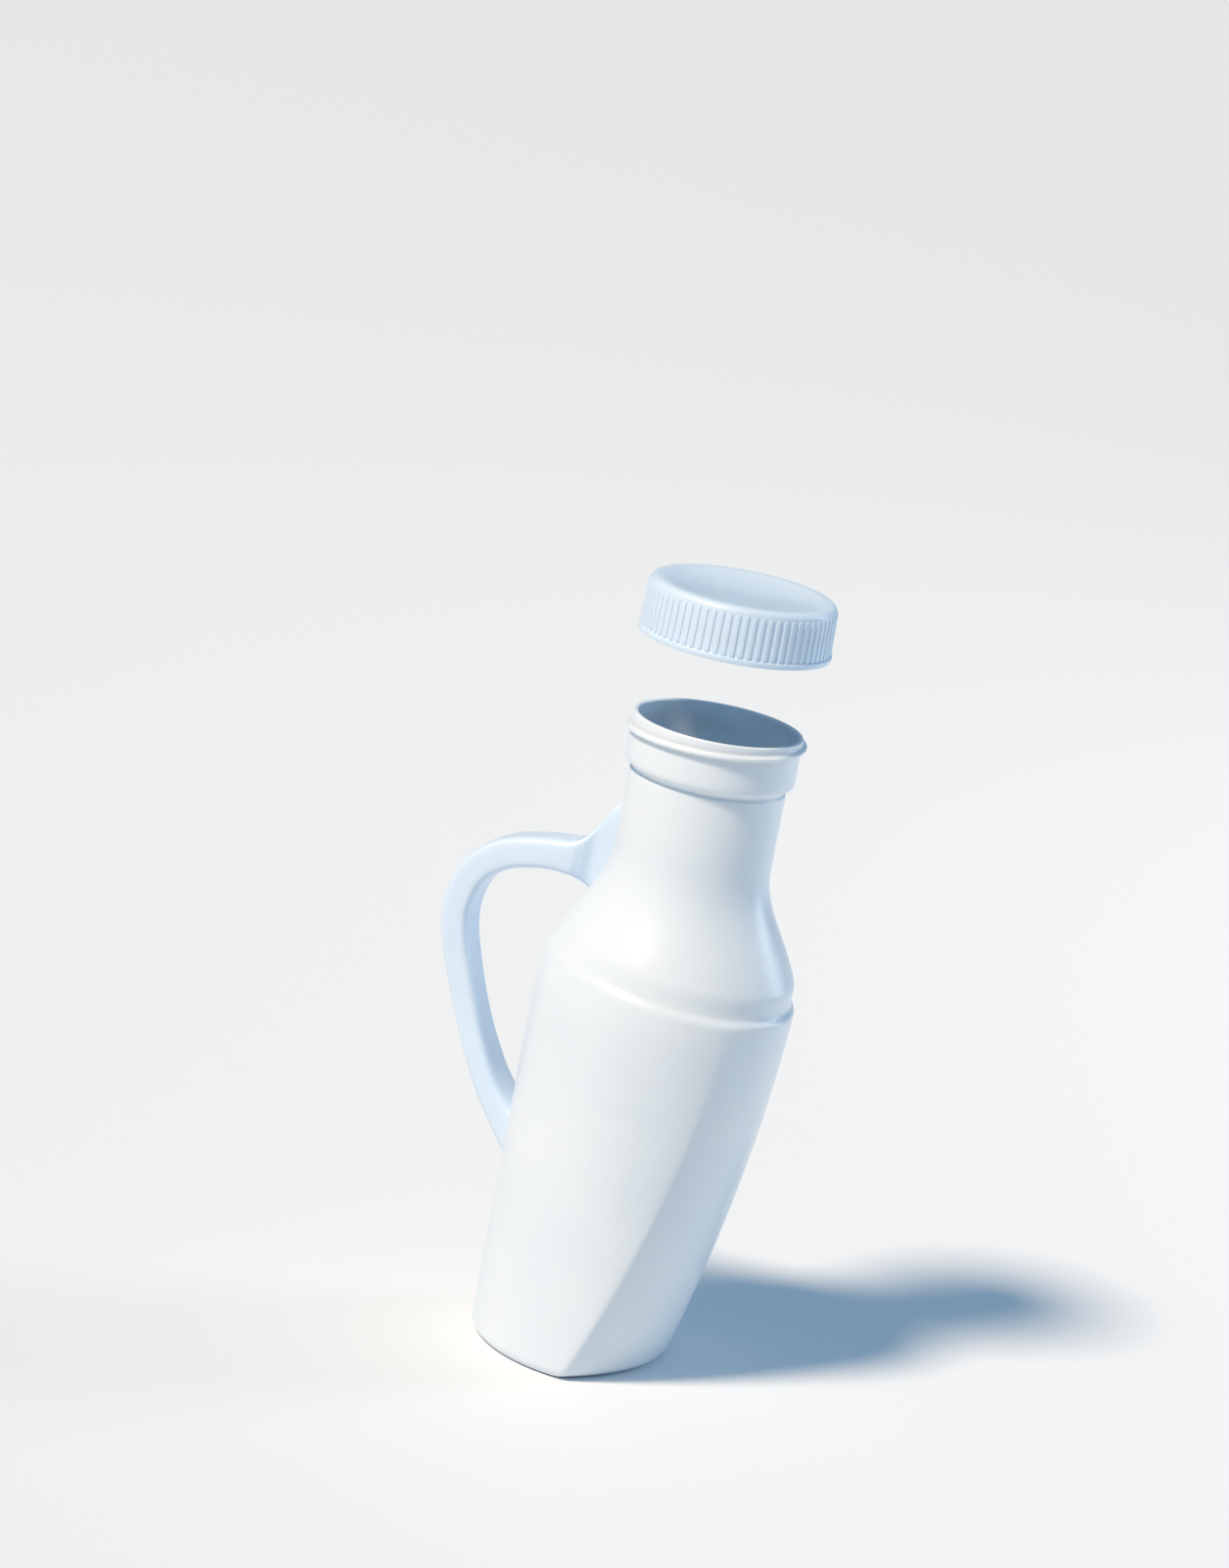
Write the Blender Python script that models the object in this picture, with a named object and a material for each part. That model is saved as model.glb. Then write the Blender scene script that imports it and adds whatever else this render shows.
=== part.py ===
"""Ward urine bottle with a carry handle and a screw cap, with the cap unscrewed and lifted off the mouth.

Metres, +Z up. The origin is on the plane that the base stands on, on the axis of the neck. The handle is on
the -X side. The resting face, which the bottle lies on in bed, is on the +X side.
"""

import math

import bmesh
import bpy
from mathutils import Vector
from mathutils.geometry import interpolate_bezier

GAP = 0.0003  # left between two pieces that touch

# The bottle: a round body with a bowed resting face, a sloping shoulder, a neck and a collar.
HEIGHT = 0.248
WALL = 0.0018
BODY_RADIUS = 0.0495
BASE_ROUND = 0.004
SHOULDER_START = 0.138
SHOULDER_PULL = 0.025  # how far the shoulder keeps on straight up before it turns in
NECK_PULL = 0.021  # and how far the neck's own line reaches down into it
NECK_START = 0.197
NECK_RADIUS = 0.0295
COLLAR_START = 0.2283
COLLAR_STEP = 0.0018
COLLAR_RADIUS = 0.032
GROOVE = 0.0007  # the groove under the collar's step
GROOVE_RISE = 0.0014

# The resting face lies between two upright creases. CREASE_X and CREASE_BOW are the arc in the XZ plane
# that the creases follow, and the face bulges out between them, most of all at the base.
CREASE_X = 0.0374
CREASE_MIDDLE = 0.170
CREASE_BOW = 0.440
FACE_TOP = 0.148
BULGE_TOP = 0.0118
BULGE_BASE = 0.0212
DIP = 0.0020  # how deep the soft groove over the face is on the face's side
DIP_LOW = 0.142
DIP_RISE = 0.0135
DIP_DEEPEST = 0.35
DIP_SLOPE = 0.012  # how much higher the groove over the face is on the handle's side

# The screw thread, which the collar and the cap share.
LEAD = 0.006
THREAD_TURNS = 1.0
THREAD_START = math.radians(90)
THREAD_BELOW_RIM = 0.008
THREAD_FOOT = 0.0022
THREAD_TOP = 0.0012
THREAD_OUT = 0.0018
THREAD_RUN_OUT = 0.07  # share of its length over which each end fades away
SUNK = 0.0003  # how far a ridge or rib is sunk into its wall

# The cap, and how far it is unscrewed.
CAP_TURNS_OFF = 8
CAP_OVERLAP = 0.017  # how far the closed cap comes down over the collar
CAP_ROOF = 0.002
CAP_BORE = 0.0343
CAP_THREAD_IN = 0.0017
CAP_BAND_RADIUS = 0.0363
CAP_BAND = 0.0022
CAP_SKIRT_RADIUS = 0.0355
CAP_TOP_RADIUS = 0.0351
CAP_EDGE = 0.0028
RIBS = 72
RIB_OUT = 0.0004
LINER_THICKNESS = 0.0012

# The handle's line in the XZ plane, from inside the neck, out and down to inside the body:
# x, z, its width in that plane and its width across it. A thin web joins the bar to the neck.
HANDLE_LINE = (
    (-0.0230, 0.1870, 0.0530, 0.0070),
    (-0.0300, 0.1895, 0.0420, 0.0070),
    (-0.0345, 0.1880, 0.0325, 0.0070),
    (-0.0380, 0.1862, 0.0240, 0.0080),
    (-0.0412, 0.1848, 0.0175, 0.0130),
    (-0.0455, 0.1840, 0.0135, 0.0170),
    (-0.0560, 0.1830, 0.0122, 0.0175),
    (-0.0712, 0.1785, 0.0122, 0.0175),
    (-0.0820, 0.1692, 0.0120, 0.0175),
    (-0.0863, 0.1560, 0.0114, 0.0175),
    (-0.0853, 0.1435, 0.0107, 0.0175),
    (-0.0808, 0.1295, 0.0103, 0.0165),
    (-0.0748, 0.1145, 0.0098, 0.0160),
    (-0.0684, 0.1012, 0.0094, 0.0180),
    (-0.0612, 0.0890, 0.0094, 0.0200),
    (-0.0530, 0.0790, 0.0110, 0.0215),
    (-0.0430, 0.0700, 0.0150, 0.0225),
    (-0.0300, 0.0600, 0.0180, 0.0230),
)
HANDLE_SQUARENESS = 5.0
WEB_X = -0.044  # the sections of the web, on the neck's side of this, stand upright

FACE_STEPS = 10
CORNER_STEPS = 3
BACK_STEPS = 32
ROUND_STEPS = 72

RIM_Z = HEIGHT
CAP_SEAT = RIM_Z - CAP_OVERLAP
CAP_LIFT = CAP_TURNS_OFF * LEAD
ROOF_UNDERSIDE = CAP_OVERLAP + GAP + LINER_THICKNESS + GAP
CAP_HEIGHT = ROOF_UNDERSIDE + CAP_ROOF


def plastic(name, colour, roughness):
    material = bpy.data.materials.new(name)
    material.use_nodes = True
    shader = material.node_tree.nodes["Principled BSDF"]
    shader.inputs["Base Color"].default_value = (*colour, 1)
    shader.inputs["Roughness"].default_value = roughness
    shader.inputs["Metallic"].default_value = 0
    return material


def add_object(name, mesh, material=None):
    """The bmesh as an object. One with no material is a cutter or another helper, which is left out."""
    data = bpy.data.meshes.new(name)
    mesh.to_mesh(data)
    mesh.free()
    data.shade_smooth()
    data.set_sharp_from_angle(angle=math.radians(35))
    made = bpy.data.objects.new(name, data)
    bpy.context.scene.collection.objects.link(made)
    if material:
        data.materials.append(material)
    else:
        made.hide_render = True
        made.display_type = "WIRE"
    return made


def combine(made, other, operation):
    cut = made.modifiers.new(other.name, "BOOLEAN")
    cut.operation = operation
    cut.object = other


def skin(rings, ends):
    """A bmesh through rings of equally many points. ends is how many of its two end rings are filled."""
    mesh = bmesh.new()
    loops = [[mesh.verts.new(point) for point in ring] for ring in rings]
    for low, high in zip(loops, loops[1:]):
        for i in range(len(low)):
            mesh.faces.new((low[i - 1], low[i], high[i], high[i - 1]))
    mesh.faces.new(reversed(loops[0]))
    if ends == 2:
        mesh.faces.new(loops[-1])
        bmesh.ops.recalc_face_normals(mesh, faces=mesh.faces)
    return mesh


def circle(radius, z, steps=ROUND_STEPS):
    turns = (2 * math.pi * i / steps for i in range(steps))
    return [(radius * math.cos(turn), radius * math.sin(turn), z) for turn in turns]


def smooth(points, steps):
    """Points along a Catmull-Rom curve through the given ones."""
    points = [Vector(point) for point in points]
    padded = [2 * points[0] - points[1], *points, 2 * points[-1] - points[-2]]
    found = []
    for before, start, end, after in zip(padded, padded[1:], padded[2:], padded[3:]):
        for step in range(steps):
            t = step / steps
            straight = 2 * start + t * (end - before)
            bent = t * t * (2 * before - 5 * start + 4 * end - after)
            curled = t**3 * (3 * start - before - 3 * end + after)
            found.append((straight + bent + curled) / 2)
    return found + [points[-1]]


def shoulder_curve():
    """(radius, z) along the shoulder, from the body's straight wall to the neck's."""
    ends = (BODY_RADIUS, SHOULDER_START), (NECK_RADIUS, NECK_START)
    pulls = (BODY_RADIUS, SHOULDER_START + SHOULDER_PULL), (NECK_RADIUS, NECK_START - NECK_PULL)
    return [p[:2] for p in interpolate_bezier(ends[0], pulls[0], pulls[1], ends[1], 60)]


def radius_at(z):
    """The wall's outer radius at any height above the base's rounded edge."""
    if z <= SHOULDER_START:
        return BODY_RADIUS
    line = [(r, height) for r, height in shoulder_curve()]
    line += [(NECK_RADIUS, COLLAR_START - GROOVE_RISE), (NECK_RADIUS - GROOVE, COLLAR_START)]
    line += [(COLLAR_RADIUS, COLLAR_START + COLLAR_STEP), (COLLAR_RADIUS, 2 * HEIGHT)]
    for (low_r, low_z), (high_r, high_z) in zip(line, line[1:]):
        if z <= high_z:
            return low_r + (high_r - low_r) * (z - low_z) / (high_z - low_z)


def crease_x(z):
    """How far the two creases beside the resting face are from the plane through the axis."""
    return CREASE_X - CREASE_BOW + math.sqrt(CREASE_BOW**2 - (z - CREASE_MIDDLE) ** 2)


def body_ring(z, offset=0.0):
    """A ring of the body: the face bulging out between its creases, and a circle for the rest."""
    radius, crease = radius_at(z) + offset, crease_x(z) + offset
    half = math.sqrt(radius**2 - crease**2)
    bulge = BULGE_TOP + (BULGE_BASE - BULGE_TOP) * (1 - z / FACE_TOP) ** 2.5
    ring = []
    for step in range(FACE_STEPS + 1):
        share = 2 * step / FACE_STEPS - 1
        ring.append((crease + bulge * (1 - share**2), half * share, z))
    meets = math.atan2(half, crease)
    for step in range(1, BACK_STEPS):
        turn = meets + (2 * math.pi - 2 * meets) * step / BACK_STEPS
        ring.append((radius * math.cos(turn), radius * math.sin(turn), z))
    return ring


def dip(z):
    """How deep the soft groove over the face is at that height, where it is deepest."""
    share = (z - DIP_LOW) / DIP_RISE
    if share >= 1:
        return 0.0
    if share < DIP_DEEPEST:
        return DIP * (0.5 - 0.5 * math.cos(math.pi * share / DIP_DEEPEST))
    return DIP * (0.5 + 0.5 * math.cos(math.pi * (share - DIP_DEEPEST) / (1 - DIP_DEEPEST)))


def lean(ring):
    """The ring shifted up on the handle's side near the groove, and kept on the wall."""
    z = ring[0][2]
    share = (z / FACE_TOP) ** 4 if z < FACE_TOP else max((NECK_START - z) / (NECK_START - FACE_TOP), 0)
    leaning = []
    for x, y, _ in ring:
        raised = z + DIP_SLOPE * share * (0.5 - 0.5 * x / math.hypot(x, y))
        grow = radius_at(raised) / radius_at(z)
        leaning.append((x * grow, y * grow, raised))
    return leaning


def bottle_rings(offset):
    """The rings of the bottle's outer form from the base up, each moved out by offset."""
    rings = []
    for step in range(CORNER_STEPS + 1):
        turn = math.pi / 2 * step / CORNER_STEPS
        inset = BASE_ROUND * (1 - math.sin(turn))
        rings.append(body_ring(BASE_ROUND * (1 - math.cos(turn)), offset - inset))
    for step in range(1, 10):
        rings.append(body_ring(BASE_ROUND + (DIP_LOW - BASE_ROUND) * step / 9, offset))
    # Over the face a soft groove runs round the body, deepest on the face's side.
    heights = [DIP_LOW + DIP_RISE * share for share in (0.15, DIP_DEEPEST, 0.58, 0.8, 1)]
    heights += [heights[-1] + (NECK_START - heights[-1]) * step / 7 for step in range(1, 8)]
    heights += [COLLAR_START - GROOVE_RISE, COLLAR_START, COLLAR_START + COLLAR_STEP, RIM_Z]
    for z in heights:
        ring = []
        for x, y, _ in rings[-1]:
            way = Vector((x, y)).normalized()
            deep = dip(z) * (0.5 + 0.5 * way.x)
            reach = radius_at(z) - deep + offset
            ring.append((way.x * reach, way.y * reach, z))
        rings.append(ring)
    return [lean(ring) for ring in rings]


def thread_ridge(name, foot, crest, start_z):
    """A right-hand ridge round the Z axis: a trapezium from the radius foot to the radius crest."""
    steps = round(36 * THREAD_TURNS)
    rings = []
    for step in range(steps + 1):
        share = step / steps
        turn = THREAD_START + 2 * math.pi * THREAD_TURNS * share
        z = start_z + LEAD * THREAD_TURNS * share
        height = min(1, (share + 0.01) / THREAD_RUN_OUT, (1.01 - share) / THREAD_RUN_OUT)
        top = foot + (crest - foot) * height
        corners = (foot, -THREAD_FOOT), (top, -THREAD_TOP), (top, THREAD_TOP), (foot, THREAD_FOOT)
        rings.append([(r * math.cos(turn), r * math.sin(turn), z + width / 2) for r, width in corners])
    return add_object(name, skin(rings, 2))


def make_bottle():
    """The blow-moulded shell, one even wall that is open at the mouth, and the thread on its collar."""
    natural = plastic("natural milky plastic", (0.83, 0.88, 0.92), 0.35)
    bottle = add_object("bottle_shell", skin(bottle_rings(0), 1), natural)
    wall = bottle.modifiers.new("wall", "SOLIDIFY")
    wall.thickness = WALL
    wall.offset = -1
    wall.use_even_offset = True
    crest = COLLAR_RADIUS + THREAD_OUT
    ridge = thread_ridge("collar_thread", COLLAR_RADIUS - SUNK, crest, RIM_Z - THREAD_BELOW_RIM)
    combine(bottle, ridge, "UNION")
    return bottle


def rounded_square(across, width, depth, steps=16):
    """Offsets along across and along Y, on a square with rounded corners of that width and depth."""
    power = 2 / HANDLE_SQUARENESS
    found = []
    for step in range(steps):
        turn = 2 * math.pi * (step + 0.5) / steps
        side, front = math.cos(turn), math.sin(turn)
        in_plane = math.copysign(abs(side) ** power, side) * width / 2
        through = math.copysign(abs(front) ** power, front) * depth / 2
        found.append(across * in_plane + Vector((0, through, 0)))
    return found


def make_handle():
    """The carry handle, cut to the bottle's outer form where its two ends meet the neck and the body."""
    line = smooth(HANDLE_LINE, 3)
    rings = []
    for i, (x, z, width, depth) in enumerate(line):
        ahead, behind = line[min(i + 1, len(line) - 1)], line[max(i - 1, 0)]
        across = Vector((behind[1] - ahead[1], 0, ahead[0] - behind[0])).normalized()
        if x > WEB_X and z > FACE_TOP:
            across = Vector((0, 0, -1))
        middle = Vector((x, 0, z))
        rings.append([middle + offset for offset in rounded_square(across, width, depth)])
    milky = plastic("moulded milky plastic", (0.80, 0.86, 0.91), 0.40)
    handle = add_object("carry_handle", skin(rings, 2), milky)
    form = add_object("bottle_form", skin(bottle_rings(GAP), 2))
    combine(handle, form, "DIFFERENCE")
    return handle


def rib_mesh():
    """Upright grip ribs round the cap's skirt, from the smooth band up to the rounded top edge."""
    mesh = bmesh.new()
    low_z, high_z = CAP_BAND - SUNK, CAP_HEIGHT - CAP_EDGE + SUNK
    pitch = 2 * math.pi / RIBS
    for rib in range(RIBS):
        loops = []
        for z, radius in ((low_z, CAP_SKIRT_RADIUS), (high_z, CAP_TOP_RADIUS)):
            foot, crest = radius - SUNK, radius + RIB_OUT
            corners = (foot, -0.3), (crest, -0.14), (crest, 0.14), (foot, 0.3)
            turned = [(r, pitch * (rib + share)) for r, share in corners]
            loops.append([mesh.verts.new((r * math.cos(a), r * math.sin(a), z)) for r, a in turned])
        low, high = loops
        for i in range(4):
            mesh.faces.new((low[i - 1], low[i], high[i], high[i - 1]))
        mesh.faces.new(reversed(low))
        mesh.faces.new(high)
    bmesh.ops.recalc_face_normals(mesh, faces=mesh.faces)
    return mesh


def make_cap():
    """The screw cap: roof, skirt with a thread inside it and grip ribs outside, and a smooth lower band."""
    rings = [circle(CAP_BORE, ROOF_UNDERSIDE), circle(CAP_BORE, 0), circle(CAP_BAND_RADIUS, 0)]
    rings += [circle(CAP_BAND_RADIUS, CAP_BAND), circle(CAP_SKIRT_RADIUS, CAP_BAND)]
    for step in range(CORNER_STEPS + 1):
        turn = math.pi / 2 * step / CORNER_STEPS
        radius = CAP_TOP_RADIUS - CAP_EDGE * (1 - math.cos(turn))
        rings.append(circle(radius, CAP_HEIGHT - CAP_EDGE * (1 - math.sin(turn))))
    cap_plastic = plastic("cap plastic", (0.78, 0.85, 0.91), 0.38)
    cap = add_object("screw_cap", skin(rings, 2), cap_plastic)
    cap.location.z = CAP_SEAT + CAP_LIFT
    start = RIM_Z - THREAD_BELOW_RIM - LEAD / 2 - CAP_SEAT
    ridge = thread_ridge("cap_thread", CAP_BORE + SUNK, CAP_BORE - CAP_THREAD_IN, start)
    ribs = add_object("cap_ribs", rib_mesh())
    for helper in (ridge, ribs):
        helper.parent = cap
        combine(cap, helper, "UNION")
    return cap


def make_liner():
    """The soft disc under the cap's roof, which presses on the rim when the cap is closed."""
    rings = [circle(CAP_BORE - GAP, 0), circle(CAP_BORE - GAP, LINER_THICKNESS)]
    liner = add_object("cap_liner", skin(rings, 2), plastic("soft liner", (0.70, 0.78, 0.86), 0.6))
    liner.location.z = RIM_Z + GAP + CAP_LIFT
    return liner


for old in list(bpy.data.objects):
    bpy.data.objects.remove(old)
make_bottle()
make_handle()
make_cap()
make_liner()
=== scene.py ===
"""A ward urine bottle on a pale floor, with its screw cap unscrewed and lifted off the mouth."""

import math

import bmesh
import bpy
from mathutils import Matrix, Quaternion, Vector
from mathutils.geometry import interpolate_bezier


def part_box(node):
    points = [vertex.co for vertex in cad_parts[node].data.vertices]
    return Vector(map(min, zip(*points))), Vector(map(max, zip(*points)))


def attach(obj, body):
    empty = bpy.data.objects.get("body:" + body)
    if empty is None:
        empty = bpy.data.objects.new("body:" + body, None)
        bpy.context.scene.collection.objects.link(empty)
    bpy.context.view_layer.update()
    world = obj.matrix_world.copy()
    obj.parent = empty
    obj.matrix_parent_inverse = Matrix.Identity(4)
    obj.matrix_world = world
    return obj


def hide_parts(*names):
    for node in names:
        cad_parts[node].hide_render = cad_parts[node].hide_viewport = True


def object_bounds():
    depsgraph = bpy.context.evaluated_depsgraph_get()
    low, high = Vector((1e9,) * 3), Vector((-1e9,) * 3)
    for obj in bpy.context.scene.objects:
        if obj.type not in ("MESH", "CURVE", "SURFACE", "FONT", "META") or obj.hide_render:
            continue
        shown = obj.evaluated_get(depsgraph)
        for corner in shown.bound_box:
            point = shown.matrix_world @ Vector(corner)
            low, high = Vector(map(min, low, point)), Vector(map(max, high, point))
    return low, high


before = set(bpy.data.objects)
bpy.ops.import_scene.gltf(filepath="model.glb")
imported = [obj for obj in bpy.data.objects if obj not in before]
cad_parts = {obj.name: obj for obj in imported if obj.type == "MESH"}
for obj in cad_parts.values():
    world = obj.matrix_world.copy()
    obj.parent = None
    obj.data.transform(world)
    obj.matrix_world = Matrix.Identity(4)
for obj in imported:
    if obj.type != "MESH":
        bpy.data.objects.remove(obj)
cad_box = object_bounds()

# ---------------------------------------------------------------------------------- bottle shell
# The body, shoulder, neck and collar are one blow-moulded piece of natural polypropylene with an
# even wall. On one side the round body turns into a bowed resting face between two creases. A soft
# groove parts the body from the shoulder. The base is pushed up a little inside its standing rim.
_, shell_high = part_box("bottle_shell")
rim_z = shell_high.z
body_radius = shell_high.y
wall = 0.0018
base_round = 0.004
shoulder_start = 0.138
shoulder_pull = 0.025
neck_pull = 0.021
neck_start = 0.197
neck_radius = 0.0295
collar_start = 0.2283
collar_radius = 0.032
# The collar's step: metres out from the neck's radius, and up from where the collar starts.
collar_step = (
    (0, -0.0024),
    (-0.0005, -0.0019),
    (-0.0008, -0.0015),
    (-0.0007, -0.001),
    (0.0019, 0.001),
    (0.0023, 0.0014),
    (0.0025, 0.0019),
)
# The creases follow a long bow, and the face bulges out between them, most of all at the base.
crease_out = 0.0374
crease_middle = 0.170
crease_bow = 0.440
face_top = 0.148
bulge_top = 0.0118
bulge_base = 0.0212
bulge_power = 2.5
# The groove between body and shoulder: its depth on the face's side, where it starts, how high it is,
# how far up it is deepest, and how much higher it runs on the handle's side.
dip = 0.0021
dip_low = 0.142
dip_rise = 0.0135
dip_deepest = 0.35
dip_slope = 0.012
beside_crease = (0.010, 0.022, 0.038)
crease_softenings = 3
face_columns, back_columns = 32, 90
corner_rows, body_rows, dip_rows, shoulder_rows, neck_rows, collar_rows = 8, 40, 20, 28, 8, 10
# Rows under the base: how far out from its middle, and how much of its push-up is left there.
base_middle_x = -0.012
base_push = 0.0022
under_base = ((0.02, 1), (0.3, 1), (0.6, 0.97), (0.78, 0.85), (0.83, 0.5), (0.88, 0.12), (0.92, 0))
rim_round = 0.0007
near = 0.00001


def edit(piece):
    """Puts this piece alone in edit mode with nothing on it selected."""
    if bpy.context.mode != "OBJECT":
        bpy.ops.object.mode_set(mode="OBJECT")
    bpy.ops.object.select_all(action="DESELECT")
    bpy.context.view_layer.objects.active = piece
    piece.select_set(True)
    bpy.ops.object.mode_set(mode="EDIT")
    bpy.ops.mesh.select_all(action="DESELECT")


def select_by_place(piece, kind, wanted):
    """Selects, in edit mode, the edges or faces whose middle wanted(x, y, z) accepts."""
    bpy.ops.mesh.select_mode(type={"edges": "EDGE", "faces": "FACE"}[kind])
    mesh = bmesh.from_edit_mesh(piece.data)
    for item in getattr(mesh, kind):
        corners = [corner.co for corner in item.verts]
        item.select_set(bool(wanted(*(sum(corners, Vector()) / len(corners)))))
    mesh.select_flush_mode()
    bmesh.update_edit_mesh(piece.data)


def wrap(name, rows):
    """A grid pulled round into a closed skin through rows of equally many points, both ends filled."""
    across, up = len(rows[0]), len(rows) - 1
    if bpy.context.mode != "OBJECT":
        bpy.ops.object.mode_set(mode="OBJECT")
    bpy.ops.object.select_all(action="DESELECT")
    bpy.ops.mesh.primitive_grid_add(x_subdivisions=across, y_subdivisions=up, size=2)
    piece = bpy.context.object
    piece.name = name
    for vertex in piece.data.vertices:
        column = round((vertex.co.x + 1) / 2 * across) % across
        row = round((vertex.co.y + 1) / 2 * up)
        vertex.co = rows[row][column]
    bpy.ops.object.mode_set(mode="EDIT")
    bpy.ops.mesh.select_all(action="SELECT")
    bpy.ops.mesh.remove_doubles(threshold=0.000002)
    bpy.ops.mesh.select_mode(type="EDGE")
    bpy.ops.mesh.select_all(action="DESELECT")
    bpy.ops.mesh.select_non_manifold(extend=False, use_boundary=True)
    bpy.ops.mesh.edge_face_add()
    bpy.ops.mesh.select_all(action="SELECT")
    bpy.ops.mesh.normals_make_consistent(inside=False)
    bpy.ops.object.mode_set(mode="OBJECT")
    return piece


def smooth_step(share):
    """From 0 to 1 along an S curve, and flat outside."""
    share = min(max(share, 0), 1)
    return share * share * (3 - 2 * share)


def wall_line():
    """(radius, z) up the wall, from the straight body over the shoulder and the collar's step."""
    pulls = (body_radius, shoulder_start + shoulder_pull), (neck_radius, neck_start - neck_pull)
    ends = (body_radius, shoulder_start), (neck_radius, neck_start)
    curve = interpolate_bezier(ends[0], pulls[0], pulls[1], ends[1], 90)
    line = [tuple(point[:2]) for point in curve]
    line += [(neck_radius + out, collar_start + up) for out, up in collar_step]
    return line + [(collar_radius, 1)]


def radius_at(z):
    """The round wall's outer radius at that height."""
    if z <= shoulder_start:
        return body_radius
    line = wall_line()
    for (low_r, low_z), (high_r, high_z) in zip(line, line[1:]):
        if z <= high_z:
            return low_r + (high_r - low_r) * (z - low_z) / (high_z - low_z)


def section(z, inset=0.0):
    """A row across: the face bulging out between its softened creases, and a circle for the rest."""
    radius = radius_at(z) - inset
    crease = crease_out - crease_bow + math.sqrt(crease_bow**2 - (z - crease_middle) ** 2) - inset
    half = math.sqrt(radius**2 - crease**2)
    bulge = bulge_top + (bulge_base - bulge_top) * (1 - z / face_top) ** bulge_power
    close = [1 - 2 * share for share in reversed(beside_crease)]
    shares = [close[0] * (2 * i / face_columns - 1) for i in range(face_columns + 1)]
    shares = [-1, *(-share for share in reversed(close[1:])), *shares, *close[1:], 1]
    ring = [Vector((crease + bulge * (1 - share**2), half * share, z)) for share in shares]
    meets = math.atan2(half, crease)
    first = 0.5 * beside_crease[-1]
    turns = [first + (1 - 2 * first) * i / back_columns for i in range(back_columns + 1)]
    turns = [first * 0.25, first * 0.6, *turns, 1 - first * 0.6, 1 - first * 0.25]
    for share in turns:
        turn = meets + (2 * math.pi - 2 * meets) * share
        ring.append(Vector((radius * math.cos(turn), radius * math.sin(turn), z)))
    far = len(shares) - 1
    for _ in range(crease_softenings):
        softened = list(ring)
        for crease_column in (0, far):
            for i in range(crease_column - 2, crease_column + 3):
                around = ring[i - 1] + 2 * ring[i] + ring[(i + 1) % len(ring)]
                softened[i] = around / 4
        ring = softened
    return [tuple(point) for point in ring]


def lean(row):
    """The row shifted up on the handle's side near the groove, and kept on the wall."""
    z = row[0][2]
    share = (z / face_top) ** 4 if z < face_top else max((neck_start - z) / (neck_start - face_top), 0)
    leaning = []
    for x, y, _ in row:
        raised = z + dip_slope * share * (0.5 - 0.5 * x / math.hypot(x, y))
        grow = radius_at(raised) / radius_at(z)
        leaning.append((x * grow, y * grow, raised))
    return leaning


def climb(low, high, steps):
    """Even heights above low, up to high."""
    return [low + (high - low) * i / steps for i in range(1, steps + 1)]


def shell_rows():
    """The rows of the shell's outer skin, from the middle of the base up to the rim."""
    foot = section(0, base_round)
    middle = Vector((base_middle_x, 0, 0))
    rows = []
    for share, lift in under_base:
        up = Vector((0, 0, base_push * lift))
        rows.append([middle + (Vector(p) - middle) * share + up for p in foot])
    for i in range(corner_rows + 1):
        turn = math.pi / 2 * i / corner_rows
        rows.append(section(base_round * (1 - math.cos(turn)), base_round * (1 - math.sin(turn))))
    rows += [section(z) for z in climb(base_round, dip_low, body_rows)]
    ways = [Vector(p[:2]).normalized() for p in rows[-1]]
    top = [Vector(p[:2]).length for p in rows[-1]]
    for i in range(1, dip_rows + 1):
        share = i / dip_rows
        z = dip_low + dip_rise * share
        groove = dip * smooth_step(share / dip_deepest)
        groove *= 1 - smooth_step((share - dip_deepest) / (1 - dip_deepest))
        row = []
        for way, reach in zip(ways, top):
            round_reach = radius_at(z) - groove * (0.5 + 0.5 * way.x)
            reach += (round_reach - reach) * smooth_step(share / dip_deepest)
            row.append((way.x * reach, way.y * reach, z))
        rows.append(row)
    step_heights = sorted([collar_start, *(collar_start + up for _, up in collar_step)])
    heights = climb(dip_low + dip_rise, neck_start, shoulder_rows)
    heights += climb(neck_start, step_heights[0], neck_rows) + step_heights[1:]
    heights += climb(step_heights[-1], rim_z, collar_rows)
    for z in heights:
        reach = radius_at(z)
        rows.append([(way.x * reach, way.y * reach, z) for way in ways])
    flat = len(under_base)
    return rows[:flat] + [lean(row) for row in rows[flat:]]


shell = wrap("bottle_shell_moulded", shell_rows())
edit(shell)
select_by_place(shell, "faces", lambda x, y, z: z > rim_z - near)
bpy.ops.mesh.delete(type="FACE")
bpy.ops.object.mode_set(mode="OBJECT")
thickness = shell.modifiers.new("wall", "SOLIDIFY")
thickness.thickness = wall
thickness.offset = -1
thickness.use_even_offset = True
bpy.ops.object.modifier_apply(modifier="wall")


def on_rim_edge(x, y, z):
    from_edge = min(abs(math.hypot(x, y) - reach) for reach in (collar_radius, collar_radius - wall))
    return z > rim_z - near and from_edge < 10 * near


edit(shell)
select_by_place(shell, "edges", on_rim_edge)
bpy.ops.mesh.bevel(offset=rim_round, segments=4, profile=0.5)
bpy.ops.object.mode_set(mode="OBJECT")

# The thread stands out of the collar as one right-hand turn and runs out to nothing at both ends.
lead = 0.006
thread_start = math.radians(90)
thread_steps = 108
thread_fade = 0.08
thread_thin = 0.35
thread_least = 0.02
thread_sunk = 0.25
thread_back = 0.002
collar_thread_z = rim_z - 0.008
collar_thread_out = 0.0018


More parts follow.
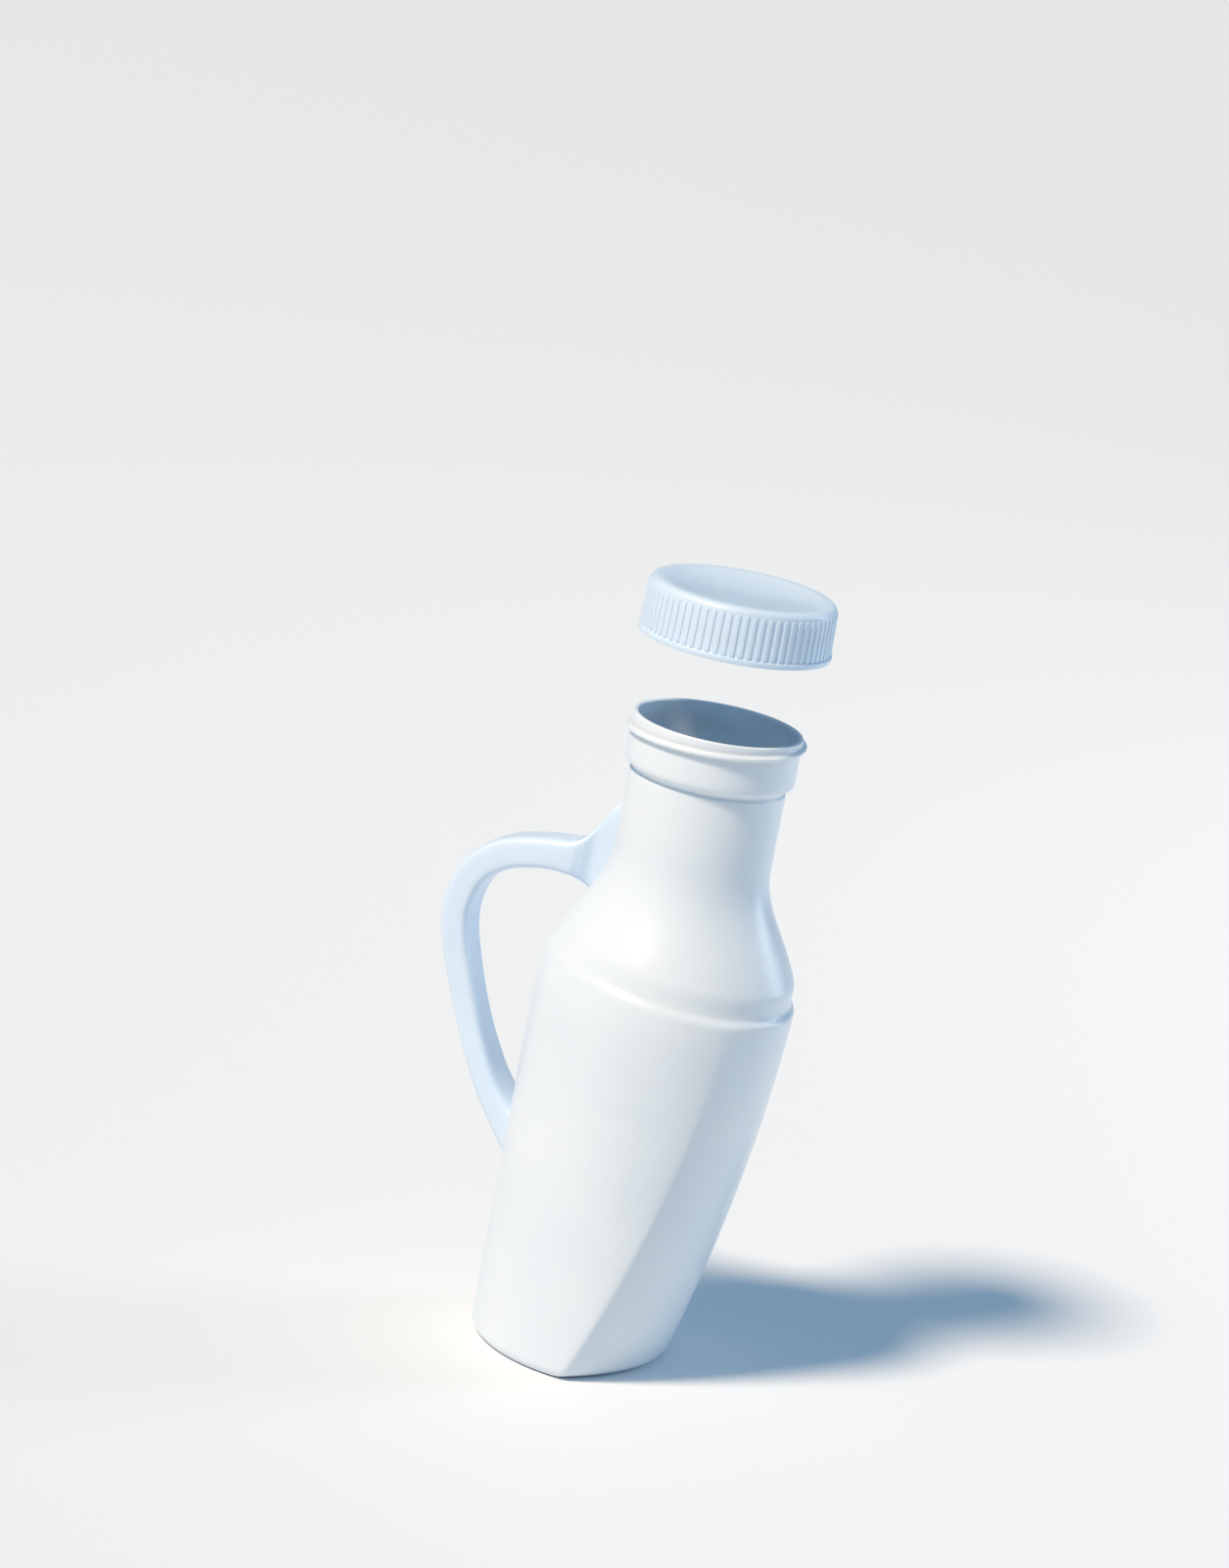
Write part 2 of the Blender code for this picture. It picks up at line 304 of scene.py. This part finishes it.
def thread_rows(foot, crest, start_z):
    """One turn of a rounded ridge whose flanks sweep out into the wall at radius foot."""
    outline = ((-0.0022, 0), (-0.0013, 0.12), (-0.00085, 0.45), (-0.0006, 0.85), (-0.0003, 1))
    outline += tuple((-z, out) for z, out in reversed(outline))
    rows = []
    for i in range(thread_steps + 1):
        share = i / thread_steps
        turn = thread_start + 2 * math.pi * share
        fade = smooth_step(min(share, 1 - share) / thread_fade)
        thick = thread_thin + (1 - thread_thin) * fade
        middle_z = start_z + lead * share
        row = []
        for up, out in outline:
            reach = foot + (crest - foot) * out * (thread_least + (1 - thread_least) * fade)
            row.append((reach * math.cos(turn), reach * math.sin(turn), middle_z + up * thick))
        back = foot + (foot - crest) * thread_sunk
        for up in (thread_back, -thread_back):
            row.append((back * math.cos(turn), back * math.sin(turn), middle_z + up * thick))
        rows.append(row)
    return rows


def join(piece, other):
    """Makes the other part of this piece."""
    bpy.ops.object.select_all(action="DESELECT")
    piece.select_set(True)
    other.select_set(True)
    bpy.context.view_layer.objects.active = piece
    bpy.ops.object.join()


collar_thread_rows = thread_rows(collar_radius, collar_radius + collar_thread_out, collar_thread_z)
join(shell, wrap("collar_thread", collar_thread_rows))


def cloudy(nodes, links, scale, low, high):
    """A soft noise on the piece's own Object coordinates, its middle range spread over low to high."""
    where = nodes.new("ShaderNodeTexCoord")
    noise = nodes.new("ShaderNodeTexNoise")
    noise.inputs["Scale"].default_value = scale
    noise.inputs["Detail"].default_value = 1
    links.new(where.outputs["Object"], noise.inputs["Vector"])
    ranged = nodes.new("ShaderNodeMapRange")
    ranged.inputs["From Min"].default_value = 0.35
    ranged.inputs["From Max"].default_value = 0.65
    ranged.inputs["To Min"].default_value = low
    ranged.inputs["To Max"].default_value = high
    links.new(noise.outputs["Fac"], ranged.inputs["Value"])
    return ranged.outputs["Result"]


def milky_plastic(name, thin, thick, gloss, glow):
    """Translucent moulded plastic: cloudy colour from thin to thick, and an uneven gloss."""
    material = bpy.data.materials.new(name)
    material.use_nodes = True
    nodes, links = material.node_tree.nodes, material.node_tree.links
    shader = nodes["Principled BSDF"]
    shader.inputs["IOR"].default_value = 1.49
    shader.inputs["Subsurface Weight"].default_value = glow
    shader.inputs["Subsurface Scale"].default_value = 0.004
    shader.inputs["Subsurface Radius"].default_value = (0.55, 0.8, 1.0)
    cloud = nodes.new("ShaderNodeMix")
    cloud.data_type = "RGBA"
    cloud.inputs["A"].default_value = (*thin, 1)
    cloud.inputs["B"].default_value = (*thick, 1)
    links.new(cloudy(nodes, links, 22, 0, 1), cloud.inputs["Factor"])
    links.new(cloud.outputs["Result"], shader.inputs["Base Color"])
    links.new(cloudy(nodes, links, 35, gloss - 0.02, gloss + 0.03), shader.inputs["Roughness"])
    return material


def finish_piece(piece, material, body, node, angle=35):
    """Shades the piece smooth, gives it its material, and stands it in for its CAD node."""
    if bpy.context.mode != "OBJECT":
        bpy.ops.object.mode_set(mode="OBJECT")
    bpy.ops.object.select_all(action="DESELECT")
    bpy.context.view_layer.objects.active = piece
    piece.select_set(True)
    bpy.ops.object.shade_smooth_by_angle(angle=math.radians(angle))
    piece.data.materials.clear()
    piece.data.materials.append(material)
    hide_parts(node)
    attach(piece, body)


natural = milky_plastic("natural_milky_plastic", (0.73, 0.81, 0.89), (0.77, 0.84, 0.90), 0.30, 0.18)
finish_piece(shell, natural, "bottle", "bottle_shell")

# ---------------------------------------------------------------------------------- carry handle
# A loop of rounded square bar moulded from the same plastic and welded to the bottle at both ends. It
# flares into a web where it meets the neck, bends round, and runs down beside the body into it.

# Its line in the XZ plane: x, z, width in that plane, and width across it.
handle_line = (
    (-0.0230, 0.1870, 0.0530, 0.0070),
    (-0.0300, 0.1895, 0.0420, 0.0070),
    (-0.0345, 0.1880, 0.0325, 0.0070),
    (-0.0380, 0.1862, 0.0240, 0.0080),
    (-0.0412, 0.1848, 0.0175, 0.0130),
    (-0.0455, 0.1840, 0.0135, 0.0170),
    (-0.0560, 0.1830, 0.0122, 0.0175),
    (-0.0712, 0.1785, 0.0122, 0.0175),
    (-0.0820, 0.1692, 0.0120, 0.0175),
    (-0.0863, 0.1560, 0.0114, 0.0175),
    (-0.0853, 0.1435, 0.0107, 0.0175),
    (-0.0808, 0.1295, 0.0103, 0.0165),
    (-0.0748, 0.1145, 0.0098, 0.0160),
    (-0.0684, 0.1012, 0.0094, 0.0180),
    (-0.0612, 0.0890, 0.0094, 0.0200),
    (-0.0530, 0.0790, 0.0110, 0.0215),
    (-0.0430, 0.0700, 0.0150, 0.0225),
    (-0.0300, 0.0600, 0.0180, 0.0230),
)
handle_squareness = 5.0
web_x = -0.044
handle_columns = 40
line_steps = 9
weld_depth = 0.0008


def smooth_line(points, steps):
    """Points along a Catmull-Rom curve through the given ones."""
    points = [Vector(point) for point in points]
    padded = [2 * points[0] - points[1], *points, 2 * points[-1] - points[-2]]
    found = []
    for before, start, end, after in zip(padded, padded[1:], padded[2:], padded[3:]):
        for step in range(steps):
            t = step / steps
            straight = 2 * start + t * (end - before)
            bent = t * t * (2 * before - 5 * start + 4 * end - after)
            curled = t**3 * (3 * start - before - 3 * end + after)
            found.append((straight + bent + curled) / 2)
    return found + [points[-1]]


def handle_rows():
    """Rows round the bar along its line; in the web by the neck they stand upright."""
    line = smooth_line(handle_line, line_steps)
    power = 2 / handle_squareness
    rows = []
    for i, (x, z, width, depth) in enumerate(line):
        ahead, behind = line[min(i + 1, len(line) - 1)], line[max(i - 1, 0)]
        across = Vector((behind[1] - ahead[1], 0, ahead[0] - behind[0])).normalized()
        if x > web_x and z > face_top:
            across = Vector((0, 0, -1))
        row = []
        for column in range(handle_columns):
            turn = 2 * math.pi * (column + 0.5) / handle_columns
            side = math.copysign(abs(math.cos(turn)) ** power, math.cos(turn)) * width / 2
            front = math.copysign(abs(math.sin(turn)) ** power, math.sin(turn)) * depth / 2
            row.append(Vector((x, front, z)) + across * side)
        rows.append(row)
    return rows


def form_rows(inset):
    """The bottle's outer form, inset a little, which the handle's ends are cut to."""
    rows = []
    for row in shell_rows()[len(under_base) + 1 :]:
        shrinks = [1 - inset / math.hypot(x, y) for x, y, _ in row]
        rows.append([(x * shrink, y * shrink, z) for (x, y, z), shrink in zip(row, shrinks)])
    return rows


handle = wrap("carry_handle_moulded", handle_rows())
weld_cutter = wrap("weld_cutter", form_rows(weld_depth))
weld = handle.modifiers.new("weld", "BOOLEAN")
weld.operation = "DIFFERENCE"
weld.object = weld_cutter
bpy.ops.object.select_all(action="DESELECT")
bpy.context.view_layer.objects.active = handle
handle.select_set(True)
bpy.ops.object.modifier_apply(modifier="weld")
bpy.data.objects.remove(weld_cutter)
moulded = milky_plastic("moulded_milky_plastic", (0.64, 0.77, 0.92), (0.68, 0.80, 0.93), 0.34, 0.15)
finish_piece(handle, moulded, "bottle", "carry_handle", 40)

# ---------------------------------------------------------------------------------- screw cap
# An injection-moulded cap: a smooth lower band, a skirt with fine upright grip ribs, and a rounded
# top edge. Inside it is plain but for its thread.
cap_low, cap_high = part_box("screw_cap")
cap_bore = 0.0343
cap_roof = 0.002
cap_band_radius = 0.0363
cap_band = 0.0022
cap_skirt_radius = 0.0355
cap_top_radius = 0.0351
cap_edge = 0.0028
cap_hollow_radius = 0.029
cap_hollow = 0.0003
hollow_slope = 0.0005
cap_reach = 0.017
cap_thread_out = 0.0017
ribs = 72
columns_per_rib = 6
rib_out = 0.0004
rib_round = 0.00014
rib_gap = 0.0002
skirt_rows = 8
lip = 0.0004
roof_corner = 0.0004
centre = 0.002


def turn_up(name, sides, stations):
    """A ring extruded from station to station of (radius, z) and closed at both ends."""
    if bpy.context.mode != "OBJECT":
        bpy.ops.object.mode_set(mode="OBJECT")
    bpy.ops.object.select_all(action="DESELECT")
    (radius, z), *rest = stations
    bpy.ops.mesh.primitive_circle_add(
        vertices=sides, radius=radius, fill_type="NGON", location=(0, 0, z), enter_editmode=True
    )
    piece = bpy.context.object
    piece.name = name
    for next_radius, next_z in rest:
        bpy.ops.mesh.extrude_region_move(TRANSFORM_OT_translate={"value": (0, 0, next_z - z)})
        grow = next_radius / radius
        bpy.ops.transform.resize(value=(grow, grow, 1), center_override=(0, 0, next_z))
        radius, z = next_radius, next_z
    bpy.ops.mesh.select_all(action="SELECT")
    bpy.ops.mesh.normals_make_consistent(inside=False)
    bpy.ops.object.mode_set(mode="OBJECT")
    bpy.ops.object.transform_apply(location=True, rotation=True, scale=True)
    return piece


def quarter(radius, z, size, start, steps):
    """Stations round a quarter circle of that size from the angle start, whose middle is given."""
    turns = (start + math.pi / 2 * i / steps for i in range(steps + 1))
    return [(radius + size * math.cos(turn), z + size * math.sin(turn)) for turn in turns]


roof_underside = cap_high.z - cap_roof
cap_stations = [(centre, roof_underside), (cap_bore - roof_corner, roof_underside)]
cap_stations += [(cap_bore, roof_underside - roof_corner)]
cap_stations += [(cap_bore, cap_low.z + lip), (cap_bore + lip, cap_low.z)]
cap_stations += [(cap_band_radius - lip, cap_low.z)]
cap_stations += quarter(cap_band_radius - lip, cap_low.z + lip, lip, -math.pi / 2, 3)[1:]
cap_stations += quarter(cap_band_radius - lip, cap_low.z + cap_band - lip, lip, 0, 3)
rib_low, rib_high = cap_low.z + cap_band + rib_gap, cap_high.z - cap_edge
for i in range(skirt_rows + 1):
    share = i / skirt_rows
    reach = cap_skirt_radius + (cap_top_radius - cap_skirt_radius) * share
    cap_stations.append((reach, rib_low + (rib_high - rib_low) * share))
cap_stations += quarter(cap_top_radius - cap_edge, cap_high.z - cap_edge, cap_edge, 0, 8)[1:]
cap_stations += [(cap_hollow_radius, cap_high.z)]
cap_stations += [(cap_hollow_radius - hollow_slope, cap_high.z - cap_hollow)]
cap_stations += [(centre, cap_high.z - cap_hollow)]
cap = turn_up("screw_cap_moulded", ribs * columns_per_rib, cap_stations)
edit(cap)


def on_rib(x, y, z):
    """Whether the face is on the skirt's outside, in the middle three of a rib's six columns."""
    round_share = math.atan2(y, x) / (2 * math.pi)
    column = math.floor(round_share * ribs * columns_per_rib) % columns_per_rib
    outside = math.hypot(x, y) > cap_top_radius - rib_gap
    return outside and rib_low < z < rib_high and column in (1, 2, 3)


select_by_place(cap, "faces", on_rib)
bpy.ops.mesh.extrude_region_shrink_fatten(TRANSFORM_OT_shrink_fatten={"value": rib_out})
bpy.ops.object.mode_set(mode="OBJECT")
soften = cap.modifiers.new("soften", "BEVEL")
soften.width = rib_round
soften.segments = 2
soften.limit_method = "ANGLE"
soften.angle_limit = math.radians(40)
bpy.ops.object.modifier_apply(modifier="soften")

# Closed, the cap's skirt reaches below the rim and its thread runs half a pitch under the collar's.
lift = cap_low.z - (rim_z - cap_reach)
cap_thread_z = collar_thread_z - lead / 2 + lift
join(cap, wrap("cap_thread", thread_rows(cap_bore, cap_bore - cap_thread_out, cap_thread_z)))
capped = milky_plastic("cap_plastic", (0.62, 0.76, 0.92), (0.66, 0.79, 0.93), 0.36, 0.12)
finish_piece(cap, capped, "cap", "screw_cap", 40)

# ---------------------------------------------------------------------------------- cap liner
# A soft sealing disc that sits loose under the cap's roof. Its edge stands a little lower than its
# middle, where it meets the bottle's rim.
liner_low, liner_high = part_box("cap_liner")
liner_radius = liner_high.x
liner_round = 0.0003
liner_step = 0.0003
liner_seat_radius = 0.029
edge_radius = liner_radius - liner_round
liner_stations = [(reach, liner_low.z + liner_step) for reach in (centre, liner_seat_radius - 0.0005)]
liner_stations += [(liner_seat_radius, liner_low.z), (edge_radius, liner_low.z)]
liner_stations += quarter(edge_radius, liner_low.z + liner_round, liner_round, -math.pi / 2, 3)[1:]
liner_stations += quarter(edge_radius, liner_high.z - liner_round, liner_round, 0, 3)
liner_stations += [(centre, liner_high.z)]
liner = turn_up("cap_liner_disc", 144, liner_stations)
liner_foam = milky_plastic("soft_liner", (0.52, 0.68, 0.88), (0.56, 0.71, 0.89), 0.55, 0.2)
finish_piece(liner, liner_foam, "liner", "cap_liner", 40)

# ---------------------------------------------------------------------------------- floor and light
# A wide pale floor under an even blue sky of light, with one soft warm sun high in front on the left
# and a weaker cool lamp behind on the right.
bpy.ops.object.select_all(action="DESELECT")
bpy.ops.mesh.primitive_plane_add(size=60, location=(0, 0, cad_box[0].z))
floor = bpy.context.object
floor.name = "pale_floor"
pale = bpy.data.materials.new("pale_floor")
pale.use_nodes = True
pale_shader = pale.node_tree.nodes["Principled BSDF"]
pale_shader.inputs["Base Color"].default_value = (0.82, 0.85, 0.88, 1)
pale_shader.inputs["Roughness"].default_value = 0.7
floor.data.materials.append(pale)

scene = bpy.context.scene
scene.world = bpy.data.worlds.new("soft sky")
scene.world.use_nodes = True
sky = scene.world.node_tree.nodes["Background"]
sky.inputs["Color"].default_value = (0.34, 0.66, 1.0, 1)
sky.inputs["Strength"].default_value = 0.37

bpy.ops.object.light_add(type="SUN", location=(-0.9, -1.5, 2.4))
key = bpy.context.object
key.name = "key_lamp"
key.data.energy = 3.55
key.data.angle = math.radians(10)
key.data.color = (1.0, 0.82, 0.63)
key.rotation_euler = (-key.location).to_track_quat("-Z", "Y").to_euler()

bpy.ops.object.light_add(type="AREA", location=(1.2, 1.3, 0.7))
rim_lamp = bpy.context.object
rim_lamp.name = "rim_lamp"
rim_lamp.data.shape = "RECTANGLE"
rim_lamp.data.size, rim_lamp.data.size_y = 0.5, 1.2
rim_lamp.data.energy = 9
rim_lamp.data.color = (0.80, 0.90, 1.0)
body_middle = Vector((0, 0, 0.13))
rim_lamp.rotation_euler = (body_middle - rim_lamp.location).to_track_quat("-Z", "Y").to_euler()

# ---------------------------------------------------------------------------------- camera
# It stands about two metres off, in front and a little to the right, above the bottle, and is rolled
# so that the bottle leans to the right. It aims a little left of the mouth and below it.
lens, sensor = 124, 36
distance = 2.0
from_side, from_above, roll = math.radians(17.4), math.radians(13.5), math.radians(11)
mouth = Vector((0, 0, rim_z))
aim_left, aim_down = math.radians(1.1072), math.radians(0.6498)
bpy.ops.object.camera_add()
camera = bpy.context.object
camera.name = "camera"
camera.data.lens = lens
camera.data.sensor_width = sensor
towards = Vector((math.sin(from_side), -math.cos(from_side), 0)) * math.cos(from_above)
towards += Vector((0, 0, math.sin(from_above)))
upright = (-towards).to_track_quat("-Z", "Y")
turned = upright @ Quaternion((0, 0, 1), roll)
camera.rotation_mode = "QUATERNION"
swing = Quaternion((0, 1, 0), aim_left) @ Quaternion((1, 0, 0), -aim_down)
camera.rotation_quaternion = turned @ swing
camera.location = mouth + towards * distance
camera.data.clip_start, camera.data.clip_end = 0.05, 100
scene.camera = camera
scene.view_settings.view_transform = "Standard"
